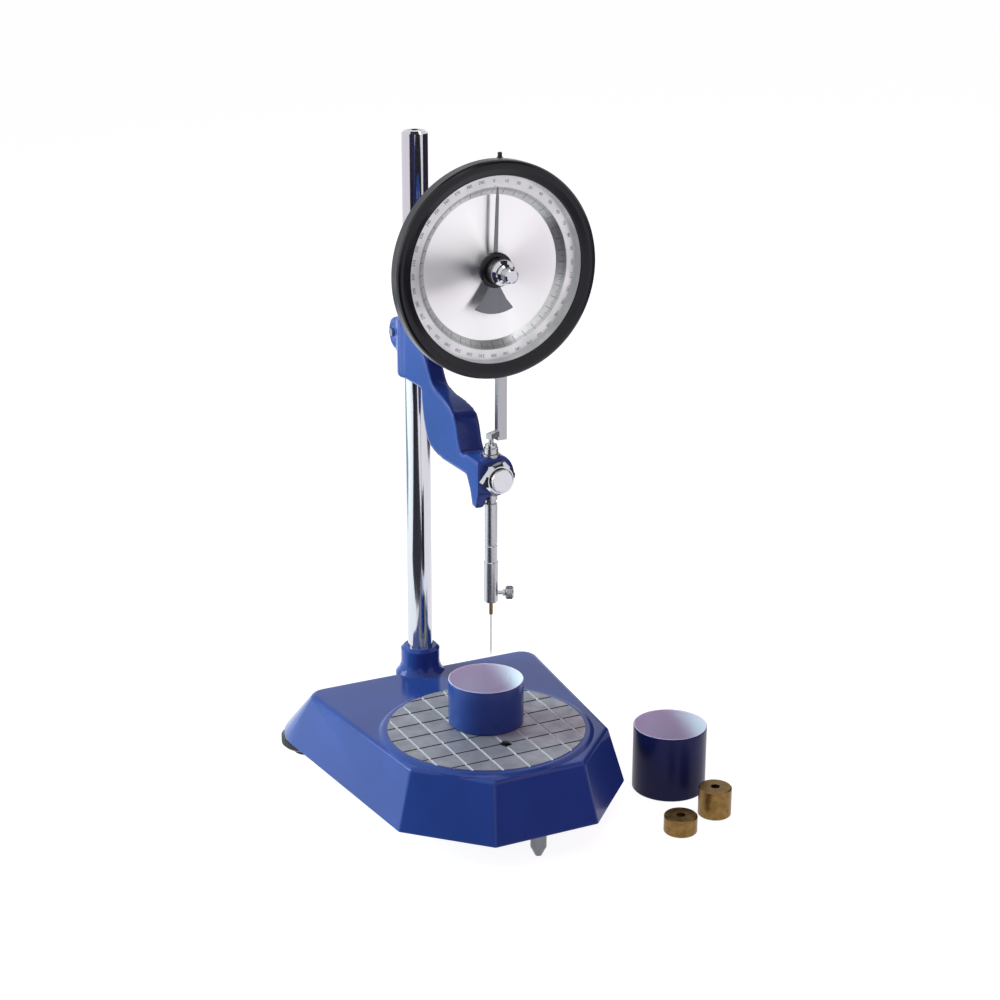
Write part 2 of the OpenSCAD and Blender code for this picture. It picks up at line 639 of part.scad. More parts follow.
// setting knob: a finger grip in front and a wider knurled shoulder that rests on the hub
knob_l = pointer_y - hub_t - knob_front;
module pointer_knob() color(chrome) along_y(knob_front, dial_z) difference() {
    rotate_extrude() polygon([[0, 0], [grip_r - 1.2, 0], [grip_r, 1.2], [grip_r, grip_l],
        [neck_out_r, grip_l + 1.5], [neck_out_r, neck_end], [knob_r - 0.4, knob_shoulder - 1],
        [knob_r, knob_shoulder], [knob_r, knob_l - 0.8], [knob_r - 0.8, knob_l], [0, knob_l]]);
    translate([0, 0, arbor_front - knob_front]) cylinder(r = arbor_r + fit, h = knob_l);
}

module bush_top() color(steel) at_needle(bush_top_z - bush_h) ring(bush_r, plunger_r + fit, bush_h);

module bush_bottom() color(steel) at_needle(bush_bottom_z) ring(bush_r, plunger_r + fit, bush_h);

module button_nut() color(chrome) along_y(nut_front, button_z) difference() {
    union() {
        intersection() {
            rotate([0, 0, nut_turn]) cylinder(r = nut_flats/sqrt(3), h = nut_back - nut_front, $fn = 6);
            rotate_extrude() polygon([[0, 0], [cup_bore_r + 0.8, 0], [nut_flats/2 + 1.8, 3],
                [nut_flats/2 + 1.8, 20], [0, 20]]);
        }
        cylinder(r = nut_seat_r, h = nut_back - nut_front + nut_seat_l);
    }
    translate([0, 0, -1]) cylinder(r = cup_bore_r, h = nut_back - nut_front - 1);
    translate([0, 0, -1]) cylinder(r = stem_r + fit, h = 30);
}

// the stem's slot grips the plunger until the button is pressed
module button() color(chrome) difference() {
    union() {
        along_y(nut_front - head_out, button_z) rotate_extrude() polygon([[0, 0], [head_r - 0.8, 0],
            [head_r - 0.2, 0.3], [head_r, 0.9], [head_r, head_out - 0.1], [stem_r, head_out - 0.1],
            [stem_r, head_out + 2], [0, head_out + 2]]);
        along_y(nut_front + 1, button_z) cylinder(r = stem_r, h = stem_back - nut_front - 1);
    }
    for (y = [-button_travel, 0]) at_needle(button_z - 20) translate([0, y, 0])
        cylinder(r = plunger_r + fit, h = 40);
    at_needle(button_z - 20) translate([-plunger_r - fit, -button_travel, 0])
        cube([2*plunger_r + 2*fit, button_travel, 40]);
}

// release spring round the stem, at its pressed length
spring_r = 8.2;
wire_r = 0.45;
spring_turns = 2.25;
spring_pitch = 1.4;
spring_rings = 8*spring_turns;
echo(spring_self_gap = spring_pitch - 2*wire_r);
module button_spring() color(steel) along_y(nut_back - 2.05 - spring_turns*spring_pitch - wire_r, button_z)
    polyhedron(
        points = [for (i = [0:spring_rings]) let (a = i*45, h = i*spring_pitch/8) for (j = [0:5])
            let (r = spring_r + wire_r*cos(j*60)) [r*cos(a), r*sin(a), h + wire_r*sin(j*60)]],
        faces = concat([[5, 4, 3, 2, 1, 0]],
            [for (i = [0:spring_rings - 1]) for (j = [0:5]) let (k = (j + 1)%6)
                each [[i*6 + j, i*6 + k, i*6 + 6 + k], [i*6 + j, i*6 + 6 + k, i*6 + 6 + j]]],
            [[for (j = [0:5]) spring_rings*6 + j]]));

module plunger() color(chrome) at_needle() rotate_extrude() polygon([[0, chuck_top_z - socket_l],
    [3, chuck_top_z - socket_l], [3, chuck_top_z], [plunger_r, chuck_top_z], [plunger_r, chuck_top_z + 12],
    [plunger_r - 0.5, chuck_top_z + 12.5], [plunger_r - 0.5, chuck_top_z + 13.5],
    [plunger_r, chuck_top_z + 14], [plunger_r, neck_z], [neck_r, neck_z + 0.6], [neck_r, neck_z + 2.6],
    [plunger_r, neck_z + 3.2], [plunger_r, shoulder_z], [stub_r, shoulder_z],
    [stub_r, plunger_top_z - 0.4], [stub_r - 0.4, plunger_top_z], [0, plunger_top_z]]);

// the collar stops the plunger on the upper bush
module plunger_collar() color(chrome) at_needle(collar_z) difference() {
    rotate_extrude() polygon([[0, 0], [collar_r - 0.3, 0], [collar_r, 0.3], [collar_r, 4.2],
        [collar_r - 0.8, 4.7], [collar_r - 0.8, collar_h - 0.4], [collar_r - 1.2, collar_h], [0, collar_h]]);
    translate([0, 0, -1]) cylinder(r = plunger_r, h = shoulder_z - collar_z + 1);
    translate([0, 0, -1]) cylinder(r = stub_r, h = 20);
}

module thumb_axis(d) at_needle(thumb_z) rotate([0, 0, thumb_turn]) translate([d, 0, 0]) rotate([0, 90, 0])
    children();
module chuck() color(chrome) difference() {
    at_needle() rotate_extrude() polygon([[1.6, chuck_bottom_z], [chuck_r - 0.8, chuck_bottom_z],
        [chuck_r, chuck_bottom_z + 0.8], [chuck_r, chuck_top_z - 0.5], [chuck_r - 0.5, chuck_top_z],
        [3, chuck_top_z], [3, chuck_top_z - socket_l], [1.6, chuck_top_z - socket_l]]);
    thumb_axis(1) cylinder(r = 1.5 + fit, h = 10);
}

module chuck_screw() color(chrome) thumb_axis(1.7) {
    cylinder(r = 1.5, h = 7);
    translate([0, 0, 7]) rotate_extrude() polygon([[0, 0], [2.4, 0], [2.4, 1.5], [4.6, 2.2], [4.8, 3],
        [4.8, 7], [4, 8], [0, 8]]);
}

module ferrule() color(brass) at_needle(ferrule_bottom_z)
    ring(1.6, needle_r, chuck_top_z - socket_l - 2 - ferrule_bottom_z);

module needle() color(steel) at_needle() rotate_extrude($fn = 24) polygon([[0, needle_tip_z],
    [0.1, needle_tip_z], [needle_r, needle_tip_z + 6], [needle_r, ferrule_bottom_z + 18],
    [0, ferrule_bottom_z + 18]]);

module cup_body(h) rotate_extrude($fn = 96) polygon([[0, 0], [cup_r - 1, 0], [cup_r, 1], [cup_r, h - 0.4],
    [cup_r - 0.4, h], [cup_r - cup_wall, h], [cup_r - cup_wall, 2.5], [cup_r - cup_wall - 1, 1.6], [0, 1.6]]);
module cup() color(white) beside_needle(cup_at, table_top_z) cup_body(cup_h);
module deep_cup() color(white) beside_needle(deep_cup_at) cup_body(deep_cup_h);

module ring_weight(h) difference() {
    rotate_extrude() polygon([[0, 0], [weight_r - 0.8, 0], [weight_r, 0.8], [weight_r, h - 0.8],
        [weight_r - 0.8, h], [0, h]]);
    translate([0, 0, -1]) cylinder(r = weight_bore_r, h = h + 2);
}
module weight_large() color(brass) beside_needle(weight_large_at)
    ring_weight(weight_large_h);
module weight_small() color(brass) beside_needle(weight_small_at)
    ring_weight(weight_small_h);

base();
table();
table_screws();
front_foot();
pillar();
pillar_washer();
pillar_nut();
foot_pad_left();
foot_knob_left();
foot_stud_left();
foot_pad_right();
foot_knob_right();
foot_stud_right();
arm();
clamp_stud();
clamp_knob();
dial_case();
bezel();
dial_ring();
dial_disc();
case_screws();
arbor_bush();
arbor();
pinion();
pointer();
pointer_hub();
pointer_knob();
rack();
rack_foot();
rack_knob();
bush_top();
bush_bottom();
button();
button_nut();
button_spring();
plunger();
plunger_collar();
chuck();
chuck_screw();
ferrule();
needle();
cup();
deep_cup();
weight_large();
weight_small();
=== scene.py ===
# %% [markdown]
# # A laboratory penetrometer
# A needle penetrometer drops a weighted needle into a cup of bitumen and shows on a large dial how deep
# it went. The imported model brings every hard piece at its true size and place, so this lesson gives the
# pieces their finishes and adds what is too fine for the model: dial marks, figures, knurls and soft edges.

# %% Load the frame
import json
import math

import bmesh
import bpy
from mathutils import Matrix, Vector


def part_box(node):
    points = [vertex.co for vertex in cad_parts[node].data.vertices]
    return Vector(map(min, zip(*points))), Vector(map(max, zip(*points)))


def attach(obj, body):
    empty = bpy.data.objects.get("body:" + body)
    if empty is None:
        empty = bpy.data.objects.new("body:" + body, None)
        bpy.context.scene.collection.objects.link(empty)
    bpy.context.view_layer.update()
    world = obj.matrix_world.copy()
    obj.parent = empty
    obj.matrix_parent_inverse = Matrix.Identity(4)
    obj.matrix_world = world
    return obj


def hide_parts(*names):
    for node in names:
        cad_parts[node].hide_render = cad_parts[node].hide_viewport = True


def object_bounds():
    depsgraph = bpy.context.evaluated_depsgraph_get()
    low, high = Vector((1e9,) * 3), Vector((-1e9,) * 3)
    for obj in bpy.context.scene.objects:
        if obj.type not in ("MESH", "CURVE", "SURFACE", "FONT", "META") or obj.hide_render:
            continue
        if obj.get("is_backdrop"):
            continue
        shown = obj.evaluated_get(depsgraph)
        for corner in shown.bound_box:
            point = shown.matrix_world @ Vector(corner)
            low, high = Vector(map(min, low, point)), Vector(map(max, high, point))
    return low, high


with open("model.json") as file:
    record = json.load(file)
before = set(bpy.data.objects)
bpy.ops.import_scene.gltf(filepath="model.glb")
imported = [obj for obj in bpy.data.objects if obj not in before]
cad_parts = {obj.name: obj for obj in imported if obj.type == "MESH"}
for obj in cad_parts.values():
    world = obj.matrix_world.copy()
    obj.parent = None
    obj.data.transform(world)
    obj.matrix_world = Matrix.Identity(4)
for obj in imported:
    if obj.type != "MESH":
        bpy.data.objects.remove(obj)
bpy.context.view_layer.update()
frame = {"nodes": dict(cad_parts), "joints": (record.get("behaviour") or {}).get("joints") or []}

MM = 0.001
NODES = frame["nodes"]


def size_in_mm(low, high):
    return [round((h - l) / MM, 1) for l, h in zip(low, high)]

# %% [markdown]
# ## Places that the pieces share
# The plunger carries the needle, so its middle line is the needle's axis. The arbor of the dial crosses that
# axis higher up. Both are read from the model and not typed in, so that a new pack moves them.

# %% Axes of the needle and the dial
def middle(node):
    low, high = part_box(node)
    return (low + high) / 2

needle = middle("plunger")
dial = middle("bezel")
dial.x = needle.x
print("needle axis y", round(needle.y / MM, 2), "dial height", round(dial.z / MM, 2))

# %% [markdown]
# ## Colours and nodes
# A colour is written as it is picked from a screen, in sRGB, and shaders want it linear. One small
# function adds a node with its settings, its links and the stops of a colour ramp, which keeps every
# material below easy to read.

# %% Helpers for materials
def linear(code):
    parts = [int(code[i:i + 2], 16) / 255 for i in (1, 3, 5)]
    return [c / 12.92 if c <= 0.04045 else ((c + 0.055) / 1.055) ** 2.4 for c in parts] + [1.0]


def add(tree, kind, inputs=None, stops=(), **settings):
    """Adds a node. An input takes a socket or a value, and a stop is a place with its colour."""
    node = tree.nodes.new(kind)
    for name, value in settings.items():
        setattr(node, name, value)
    for name, value in (inputs or {}).items():
        if isinstance(value, bpy.types.NodeSocket):
            tree.links.new(value, node.inputs[name])
        else:
            node.inputs[name].default_value = value
    for i, (place, code) in enumerate(stops):
        node.color_ramp.elements[i].position = place
        node.color_ramp.elements[i].color = linear(code)
    return node


def finish(name, colour, **sockets):
    """Starts a material. A socket's name is written with _ for each space."""
    material = bpy.data.materials.new(name)
    material.use_nodes = True
    shader = material.node_tree.nodes["Principled BSDF"]
    shader.inputs["Base Color"].default_value = linear(colour)
    for socket, value in sockets.items():
        shader.inputs[socket.replace("_", " ")].default_value = value
    return material, material.node_tree, shader


def per_mm(size):
    """Scale of a texture whose features are this many millimetres wide."""
    return 1 / (size * MM)

# %% [markdown]
# ## Blue stoving enamel
# The base and the arm are castings sprayed with a glossy royal-blue enamel and baked. The eye sees a deep
# colour under a clear shine, with a slow ripple that is called orange peel. One flat colour would look like
# plastic. So a noise of about 7 mm bends the normals a little for the ripple, and a much wider one drifts
# the colour as uneven paint does. The cups and the black dial case have the same finish in other colours,
# and the deep cup's blue is painted darker and duller than the other cup's, as shade.

# %% Enamel on castings and cups
DRIFT_MM = 60
PEEL_MM = 7
PEEL_DEPTH = 0.12 * MM


def enamel(name, deep, light, roughness, shine):
    material, tree, shader = finish(name, deep, Roughness=roughness, Specular_IOR_Level=shine)
    place = add(tree, "ShaderNodeTexCoord").outputs["Object"]
    drift = add(tree, "ShaderNodeTexNoise", {"Vector": place, "Scale": per_mm(DRIFT_MM), "Detail": 2.0})
    tint = add(tree, "ShaderNodeValToRGB", {"Fac": drift.outputs["Fac"]}, [(0.35, deep), (0.65, light)])
    tree.links.new(tint.outputs["Color"], shader.inputs["Base Color"])
    peel = add(tree, "ShaderNodeTexNoise", {"Vector": place, "Scale": per_mm(PEEL_MM), "Detail": 1.0})
    bump = add(tree, "ShaderNodeBump",
               {"Height": peel.outputs["Fac"], "Strength": 0.25, "Distance": PEEL_DEPTH})
    tree.links.new(bump.outputs["Normal"], shader.inputs["Normal"])
    return material

blue_enamel = enamel("blue_stoving_enamel", "#233D79", "#274284", roughness=0.16, shine=0.25)
cup_enamel = enamel("blue_cup_enamel", "#213A76", "#253F7F", roughness=0.22, shine=0.3)
# painted shade: the deep cup's enamel is the cup blue made darker and duller
shaded_cup_enamel = enamel("cup_enamel_painted_shade", "#171F49", "#1B2453", roughness=0.3, shine=0.14)
cup_lining = enamel("pale_cup_lining", "#CBCCD6", "#D2D3DD", roughness=0.35, shine=0.3)
black_enamel = enamel("black_stoving_enamel", "#0F1016", "#14151C", roughness=0.28, shine=0.32)
print("enamels:", [m.name for m in (blue_enamel, cup_enamel, shaded_cup_enamel, cup_lining, black_enamel)])

# %% [markdown]
# ## Bright metals
# The pillar, the pointer's knob and the nut are chrome plated: almost a mirror, with faint polishing streaks
# along the piece. On the release button the chrome is satin, and on the plunger and the chuck it is worn
# dull. The rack, the studs and the case screws are plain steel, the table's screws are blackened, and the
# pointer and the front foot are a darker grey. The streaks come from one noise squeezed across the piece and
# stretched along it, both in millimetres. It drives the roughness, because wear on bare metal shows first in
# the shine, and where a metal tarnishes it drives the colour as well.

# %% Streaked metals
def streaked(name, colour, smooth, rough, across, along, axis, worn=None):
    material, tree, shader = finish(name, colour, Metallic=1.0, Roughness=rough)
    place = add(tree, "ShaderNodeTexCoord").outputs["Object"]
    scale = [per_mm(across)] * 3
    scale["XYZ".index(axis)] = per_mm(along)
    squeezed = add(tree, "ShaderNodeMapping", {"Vector": place, "Scale": scale})
    streaks = add(tree, "ShaderNodeTexNoise",
                  {"Vector": squeezed.outputs["Vector"], "Scale": 1.0, "Detail": 4.0})
    wear = add(tree, "ShaderNodeMapRange", {"Value": streaks.outputs["Fac"], "From Min": 0.3,
                                            "From Max": 0.7, "To Min": smooth, "To Max": rough})
    tree.links.new(wear.outputs["Result"], shader.inputs["Roughness"])
    if worn:
        tint = add(tree, "ShaderNodeValToRGB", {"Fac": streaks.outputs["Fac"]},
                   [(0.4, worn), (0.62, colour)])
        tree.links.new(tint.outputs["Color"], shader.inputs["Base Color"])
    return material

chrome = streaked("chrome_plate", "#C9CBD0", smooth=0.05, rough=0.12, across=1.5, along=40, axis="Z")
satin_chrome = streaked("satin_chrome", "#D4D5D9", smooth=0.3, rough=0.4, across=0.7, along=9, axis="X")
dull_chrome = streaked("worn_chrome", "#B6B8BC", smooth=0.2, rough=0.32, across=0.8, along=30, axis="Z")
steel = streaked("bright_steel", "#A9ABAE", smooth=0.22, rough=0.36, across=0.8, along=25, axis="Z")
dark_steel = streaked("blackened_steel", "#2E3033", smooth=0.32, rough=0.45, across=1.0, along=6, axis="Z")
grey_steel = streaked("grey_steel", "#73777B", smooth=0.3, rough=0.4, across=0.6, along=20, axis="Z")
print("metals:", [m.name for m in (chrome, satin_chrome, dull_chrome, steel, dark_steel, grey_steel)])

# %% [markdown]
# ## Brass
# The two ring weights are old brass, tarnished brown in patches as wide as they are long. The ferrule of the
# needle, the pinion and the arbor's bush are small turned brass pieces that stay cleaner, with fine streaks.

# %% Tarnished and clean brass
weight_brass = streaked("tarnished_brass", "#8A6E40", smooth=0.3, rough=0.44, across=5, along=5, axis="Z",
                        worn="#745B35")
fine_brass = streaked("turned_brass", "#A28D60", smooth=0.22, rough=0.34, across=0.7, along=5, axis="Z")
print("brass:", weight_brass.name, fine_brass.name)

# %% [markdown]
# ## Turned metals
# The table was faced on a lathe, so it carries rings round its middle, and so does the dial's silvered ring.
# Rings of a wave texture round the axis draw the lathe's lines, and a noise lays worn patches over them. The
# table is worn matt: part of its light is scattered, so that it shows no mirror image of the cup.

# %% Table and dial ring
PATCH_MM = 14
LINE_DEPTH = 0.05 * MM


def turned(name, colour, worn, metallic, smooth, rough, pitch, centre, axis):
    material, tree, shader = finish(name, colour, Metallic=metallic, Roughness=rough)
    place = add(tree, "ShaderNodeTexCoord").outputs["Object"]
    patches = add(tree, "ShaderNodeTexNoise", {"Vector": place, "Scale": per_mm(PATCH_MM), "Detail": 5.0})
    tint = add(tree, "ShaderNodeValToRGB", {"Fac": patches.outputs["Fac"]}, [(0.35, worn), (0.7, colour)])
    tree.links.new(tint.outputs["Color"], shader.inputs["Base Color"])
    wear = add(tree, "ShaderNodeMapRange", {"Value": patches.outputs["Fac"], "From Min": 0.3,
                                            "From Max": 0.7, "To Min": rough, "To Max": smooth})
    tree.links.new(wear.outputs["Result"], shader.inputs["Roughness"])
    centred = add(tree, "ShaderNodeMapping", {"Vector": place, "Location": [-c for c in centre]})
    # one band of the wave is 2*pi/20 long at a scale of 1; the lines are drawn coarse enough to show
    rings = add(tree, "ShaderNodeTexWave", {"Vector": centred.outputs["Vector"],
                                            "Scale": per_mm(pitch) * math.pi / 10, "Distortion": 0.4},
                wave_type="RINGS", rings_direction=axis)
    bump = add(tree, "ShaderNodeBump",
               {"Height": rings.outputs["Fac"], "Strength": 0.15, "Distance": LINE_DEPTH})
    tree.links.new(bump.outputs["Normal"], shader.inputs["Normal"])
    return material

table_metal = turned("faced_aluminium", "#9A9CA2", "#85888E", metallic=0.55, smooth=0.45, rough=0.6,
                     pitch=1.2, centre=middle("table"), axis="Z")
ring_metal = turned("silvered_brass", "#DADBDC", "#CDCFD0", metallic=1.0, smooth=0.3, rough=0.4,
                    pitch=0.9, centre=dial, axis="Y")
print("turned metals:", table_metal.name, ring_metal.name)

# %% [markdown]
# ## The spun disc
# The dial's bright inner disc was spun while it was polished, and the scratches run in circles too fine to
# see. Spun metal smears a reflection outwards from the middle, which is why a dark wedge lies beside the hub.
# Drawn circles would need a texture finer than the picture, so anisotropy with a radial tangent gives the
# smear instead.

# %% Spun aluminium
spun_disc, tree, shader = finish("spun_aluminium", "#FBFBFC", Metallic=1.0, Roughness=0.33, Anisotropic=1.0,
                                 Anisotropic_Rotation=0.25)
tangent = add(tree, "ShaderNodeTangent", direction_type="RADIAL", axis="Y")
tree.links.new(tangent.outputs["Tangent"], shader.inputs["Tangent"])
print("disc:", spun_disc.name)

# %% [markdown]
# ## Dark plastics, rubber and ink
# The levelling knobs and the clamp knob are moulded in black plastic with a fine spark-eroded grain, and the
# pads under them are rubber, which is duller. The dial's marks are printed in a dark grey ink that has
# almost no shine. One noise gives all three their grain, with its width and depth in millimetres.

# %% Grained blacks
def grained(name, colour, roughness, grain, depth):
    material, tree, shader = finish(name, colour, Roughness=roughness)
    place = add(tree, "ShaderNodeTexCoord").outputs["Object"]
    noise = add(tree, "ShaderNodeTexNoise", {"Vector": place, "Scale": per_mm(grain), "Detail": 3.0})
    bump = add(tree, "ShaderNodeBump",
               {"Height": noise.outputs["Fac"], "Strength": 0.35, "Distance": depth * MM})
    tree.links.new(bump.outputs["Normal"], shader.inputs["Normal"])
    return material

black_plastic = grained("moulded_black_plastic", "#1A1B1E", roughness=0.34, grain=0.6, depth=0.05)
rubber = grained("black_rubber", "#161617", roughness=0.75, grain=0.9, depth=0.1)
ink = grained("printed_ink", "#2B2D31", roughness=0.6, grain=0.3, depth=0.01)
print("blacks:", [m.name for m in (black_plastic, rubber, ink)])

# %% [markdown]
# ## Dressing the model's own pieces
# Most pieces are turned or milled, and the model already has their exact form with true curved faces. They
# could be built again here, but that would gain nothing. So they keep their meshes and only get a finish,
# through the object's material slot.

# %% Finishes by piece
DRESS = {
    ring_metal: ["dial_ring"],
    spun_disc: ["dial_disc"],
    chrome: ["pillar", "button_nut", "pointer_knob"],
    dull_chrome: ["plunger", "plunger_collar", "chuck", "chuck_screw"],
    satin_chrome: ["button"],
    steel: ["pillar_washer", "pillar_nut", "foot_stud_left", "foot_stud_right", "clamp_stud", "case_screws",
            "arbor", "rack", "rack_foot", "bush_top", "bush_bottom", "button_spring", "needle"],
    dark_steel: ["table_screws"],
    grey_steel: ["pointer", "front_foot"],
    black_enamel: ["dial_case", "bezel", "pointer_hub"],
    black_plastic: ["foot_knob_left", "foot_knob_right", "clamp_knob", "rack_knob"],
    rubber: ["foot_pad_left", "foot_pad_right"],
    fine_brass: ["arbor_bush", "pinion", "ferrule"],
    weight_brass: ["weight_large", "weight_small"],
}
for material, names in DRESS.items():
    for name in names:
        piece = NODES[name]
        piece.material_slots[0].link = "OBJECT"
        piece.material_slots[0].material = material
print("dressed", sum(map(len, DRESS.values())), "pieces")

# %% [markdown]
# ## Plain meshes
# A finished piece has to be a plain mesh at the origin that rides on a body. These helpers take a mesh from
# a bmesh or from an object with live modifiers, make a piece of it, and copy a piece of the model. The
# model's triangles are loose, so a copy is joined before it is smoothed.

# %% Helpers for pieces
JOIN_WITHIN = 0.004 * MM


def mesh_of(work, name):
    """Makes a mesh of a bmesh and frees it."""
    mesh = bpy.data.meshes.new(name)
    work.to_mesh(mesh)
    work.free()
    return mesh


def evaluated_mesh(piece):
    graph = bpy.context.evaluated_depsgraph_get()
    return bpy.data.meshes.new_from_object(piece.evaluated_get(graph), depsgraph=graph)


def bake(piece):
    """Keeps what the modifiers made as the piece's own mesh."""
    mesh = evaluated_mesh(piece)
    piece.modifiers.clear()
    piece.data = mesh


def new_piece(name, data, *materials):
    piece = bpy.data.objects.new(name, data)
    bpy.context.scene.collection.objects.link(piece)
    for material in materials:
        data.materials.append(material)
    return piece


def joined_copy(node, name, *materials):
    """A copy of a model's node with its loose triangles joined."""
    work = bmesh.new()
    work.from_mesh(NODES[node].data)
    bmesh.ops.remove_doubles(work, verts=work.verts, dist=JOIN_WITHIN)
    mesh = mesh_of(work, name)
    if "custom_normal" in mesh.attributes:
        mesh.attributes.remove(mesh.attributes["custom_normal"])
    return new_piece(name, mesh, *materials)

# %% [markdown]
# ## The base casting
# The base is one iron casting with rounded edges, and paint makes them softer still. The model has the
# rounded form in small facets, so a copy is joined and shaded smooth. A bevel would round the edges a second
# time. Weighted normals let the large flat faces keep their own direction instead, and the rounded strips
# between them take all the turn.

# %% Base with smooth edges
base = joined_copy("base", "base_casting", blue_enamel)
base.data.shade_smooth()
base.data.set_sharp_from_angle(angle=math.radians(38))
weighted = base.modifiers.new("flat faces first", "WEIGHTED_NORMAL")
weighted.keep_sharp = True
bake(base)
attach(base, "stand")
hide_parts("base")
print("base:", len(base.data.polygons), "faces")

# %% [markdown]
# ## The table's grooves
# The grooves were cut after the table had been faced, so they are matt and bright, and the walls of those
# that run across are painted dark, as the shade that lies in them. Lines drawn by a texture would have no
# depth from the side. The model has the grooves as real cuts, so on a copy of the table every face below the
# top gets one of two more finishes, by where it faces.

# %% Table with matt grooves
groove_metal, _, _ = finish("matt_cut_aluminium", "#C4C6C8", Metallic=0.35, Roughness=0.55)
# painted shade: a dark colour for the groove walls that face front or back
groove_painted_shade, _, _ = finish("aluminium_painted_shade", "#3C3E42", Metallic=0.2, Roughness=0.7)
# the numbers of these two among the table's materials
CUT, PAINTED_SHADE = 1, 2
# a wall that faces front or back has this much of its normal along y
FACES_ACROSS = 0.5
GROOVE_HIGHEST = 0.1 * MM
GROOVE_DEEPEST = 1.2 * MM
RIM_WIDTH = 0.5 * MM

grooved = joined_copy("table", "table_grooved", table_metal, groove_metal, groove_painted_shade)
table_axis = middle("table")
table_low, table_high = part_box("table")
inside_rim = (table_high.x - table_low.x) / 2 - RIM_WIDTH
for face in grooved.data.polygons:
    from_axis = (face.center - table_axis).xy.length
    depth = table_high.z - face.center.z
    if from_axis < inside_rim and GROOVE_HIGHEST < depth < GROOVE_DEEPEST:
        # a wall that faces front or back gets painted shade, every other groove face the matt cut finish
        face.material_index = PAINTED_SHADE if abs(face.normal.y) > FACES_ACROSS else CUT
    face.use_smooth = False
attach(grooved, "stand")
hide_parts("table")
print("table:", sum(f.material_index > 0 for f in grooved.data.polygons), "groove faces")

# %% [markdown]
# ## The arm casting
# The arm is a thick swept casting whose every edge is soft. A bevel fails where its many edges meet, so a
# voxel remesh turns the joined solid into an even skin of small faces, and a few rounds of smoothing wear its
# edges down to a radius of about 3 mm, just as fettling and paint do. Flat sides stay flat, because smoothing
# moves nothing there.

# %% Arm with soft edges
arm = joined_copy("arm", "arm_casting", blue_enamel)
skin = arm.modifiers.new("even skin", "REMESH")
skin.mode = "VOXEL"
skin.voxel_size = 1.0 * MM
soften = arm.modifiers.new("worn edges", "SMOOTH")
soften.factor = 0.5
soften.iterations = 24
bake(arm)
arm.data.shade_smooth()
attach(arm, "head")
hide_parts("arm")
print("arm:", len(arm.data.polygons), "faces")

# %% [markdown]
# ## The sample cups
# Both cups are thin steel cups, enamelled blue outside and pale inside, with a rolled lip. The model's plain
# tubes have no lip, so a lathe turns each cup from a profile: the points go up the outside, over the lip and
# down to the floor inside, and the lip is where the colour changes.

# %% Lathe
LATHE_STEPS = 96


def lathe(name, profile, foot, materials, change):
    """Turns (r, z) points in mm round an upright axis; the second material starts at strip change."""
    work = bmesh.new()
    turns = [2 * math.pi * i / LATHE_STEPS for i in range(LATHE_STEPS)]
    circle = [(math.cos(turn), math.sin(turn)) for turn in turns]
    rings = []
    for r, z in profile:
        height = foot.z + z * MM
        if r == 0:
            rings.append([work.verts.new((foot.x, foot.y, height))] * LATHE_STEPS)
        else:
            rings.append([work.verts.new((foot.x + r * MM * c, foot.y + r * MM * s, height))
                          for c, s in circle])
    for strip, (ring, after) in enumerate(zip(rings, rings[1:])):
        for i in range(LATHE_STEPS):
            j = (i + 1) % LATHE_STEPS
            # a ring at the axis is one point, so a corner that comes twice is taken once
            face = work.faces.new(list(dict.fromkeys([ring[i], ring[j], after[j], after[i]])))
            face.material_index = int(strip >= change)
            face.smooth = True
    bmesh.ops.recalc_face_normals(work, faces=work.faces)
    mesh = mesh_of(work, name)
    mesh.set_sharp_from_angle(angle=math.radians(50))
    return new_piece(name, mesh, *materials)

# %% Cups from a profile
# the profile and its sizes are in millimetres
CUP_WALL = 1.25
CUP_FLOOR = 1.6
# the blue enamel goes on over the first strips of the lip
LIP_STRIPS_OUTSIDE = 2

for node, outer in (("cup", cup_enamel), ("deep_cup", shaded_cup_enamel)):
    low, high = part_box(node)
    r = (high.x - low.x) / 2 / MM
    h = (high.z - low.z) / MM
    bore = r - CUP_WALL
    outside = [(0, 0), (r - 1.2, 0), (r - 0.5, 0.2), (r - 0.1, 0.7), (r - 0.05, 1.4), (r - 0.05, h - 2.2)]
    lip = [(r, h - 1.6), (r, h - 0.6), (r - 0.25, h - 0.15), (r - 0.6, h), (r - 1.0, h - 0.15)]
    inside = [(bore, h - 0.7), (bore, 3.2), (bore - 0.4, 2.2), (bore - 1.4, CUP_FLOOR), (0, CUP_FLOOR)]
    foot = Vector((middle(node).x, middle(node).y, low.z))
    vessel = lathe(node + "_enamelled", outside + lip + inside, foot, [outer, cup_lining],
                   len(outside) + LIP_STRIPS_OUTSIDE)
    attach(vessel, node)
    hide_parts(node)
    print(node, "radius", round(r, 2), "height", round(h, 2))

# %% [markdown]
# ## Marks round the dial
# A turn of the pointer is 40 mm of travel, and the ring is divided into 400 tenths of a millimetre. Marks
# repeat round a circle, so Geometry Nodes make them: points on a circle, a thin bar on each, turned to point
# outwards and tilted to lie on a slope. Leaving out every fifth short mark and every second longer one makes
# room for the next length. The same tree makes the ridges of a knurled knob later on, because these are bars
# round a circle too.

# %% A tree of bars round a circle
BAR_INPUTS = {"Count": "NodeSocketInt", "Skip Every": "NodeSocketInt", "Radius": "NodeSocketFloat",
              "Bar": "NodeSocketVector", "Tilt": "NodeSocketRotation", "Centre": "NodeSocketVector",
              "Turn": "NodeSocketRotation", "Finish": "NodeSocketMaterial"}


